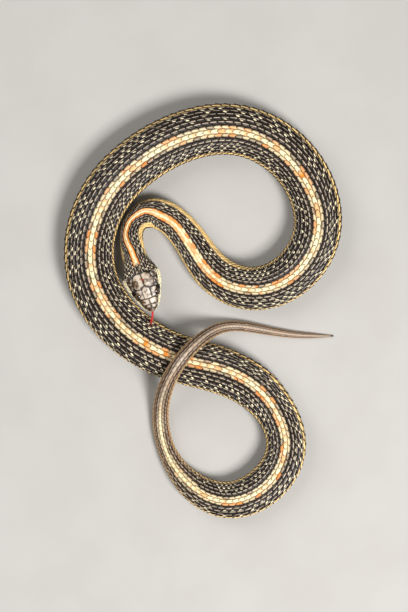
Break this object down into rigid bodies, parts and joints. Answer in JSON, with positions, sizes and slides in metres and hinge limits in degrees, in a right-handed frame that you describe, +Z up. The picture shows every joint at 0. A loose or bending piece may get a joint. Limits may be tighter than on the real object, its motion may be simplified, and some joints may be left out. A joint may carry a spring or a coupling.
{
  "type": "garter snake",
  "caption": "Coiled garter snake lying flat with lifted head, forked tongue out and tail laid over its own body; still life-size model.",
  "frame": {"origin": "centre of the footprint on the floor, under the coiled body", "axes": "+Z up from the floor; +Y towards the top of the great loop, along the length of the resting coil, the snout facing about -Y; +X to the right seen from above"},
  "size_m": [0.121, 0.1807, 0.022],
  "materials": {
    "skin": "dry keeled scales, satin, dark with cream and orange stripes",
    "eye": "wet gloss, dark pupil and bronze iris under a clear brille",
    "tongue": "moist red"
  },
  "bodies": {
    "root": {"head": "skin", "lower_jaw": "skin", "neck": "skin", "body_01": "skin", "body_02": "skin", "body_03": "skin", "body_04": "skin", "body_05": "skin", "body_06": "skin", "body_07": "skin", "body_08": "skin", "body_09": "skin", "body_10": "skin", "body_11": "skin", "body_12": "skin", "body_13": "skin", "body_14": "skin", "tail_1": "skin", "tail_2": "skin", "tail_3": "skin", "tail_4": "skin", "eye_left": "eye", "eye_right": "eye", "tongue": "tongue"}
  },
  "joints": []
}
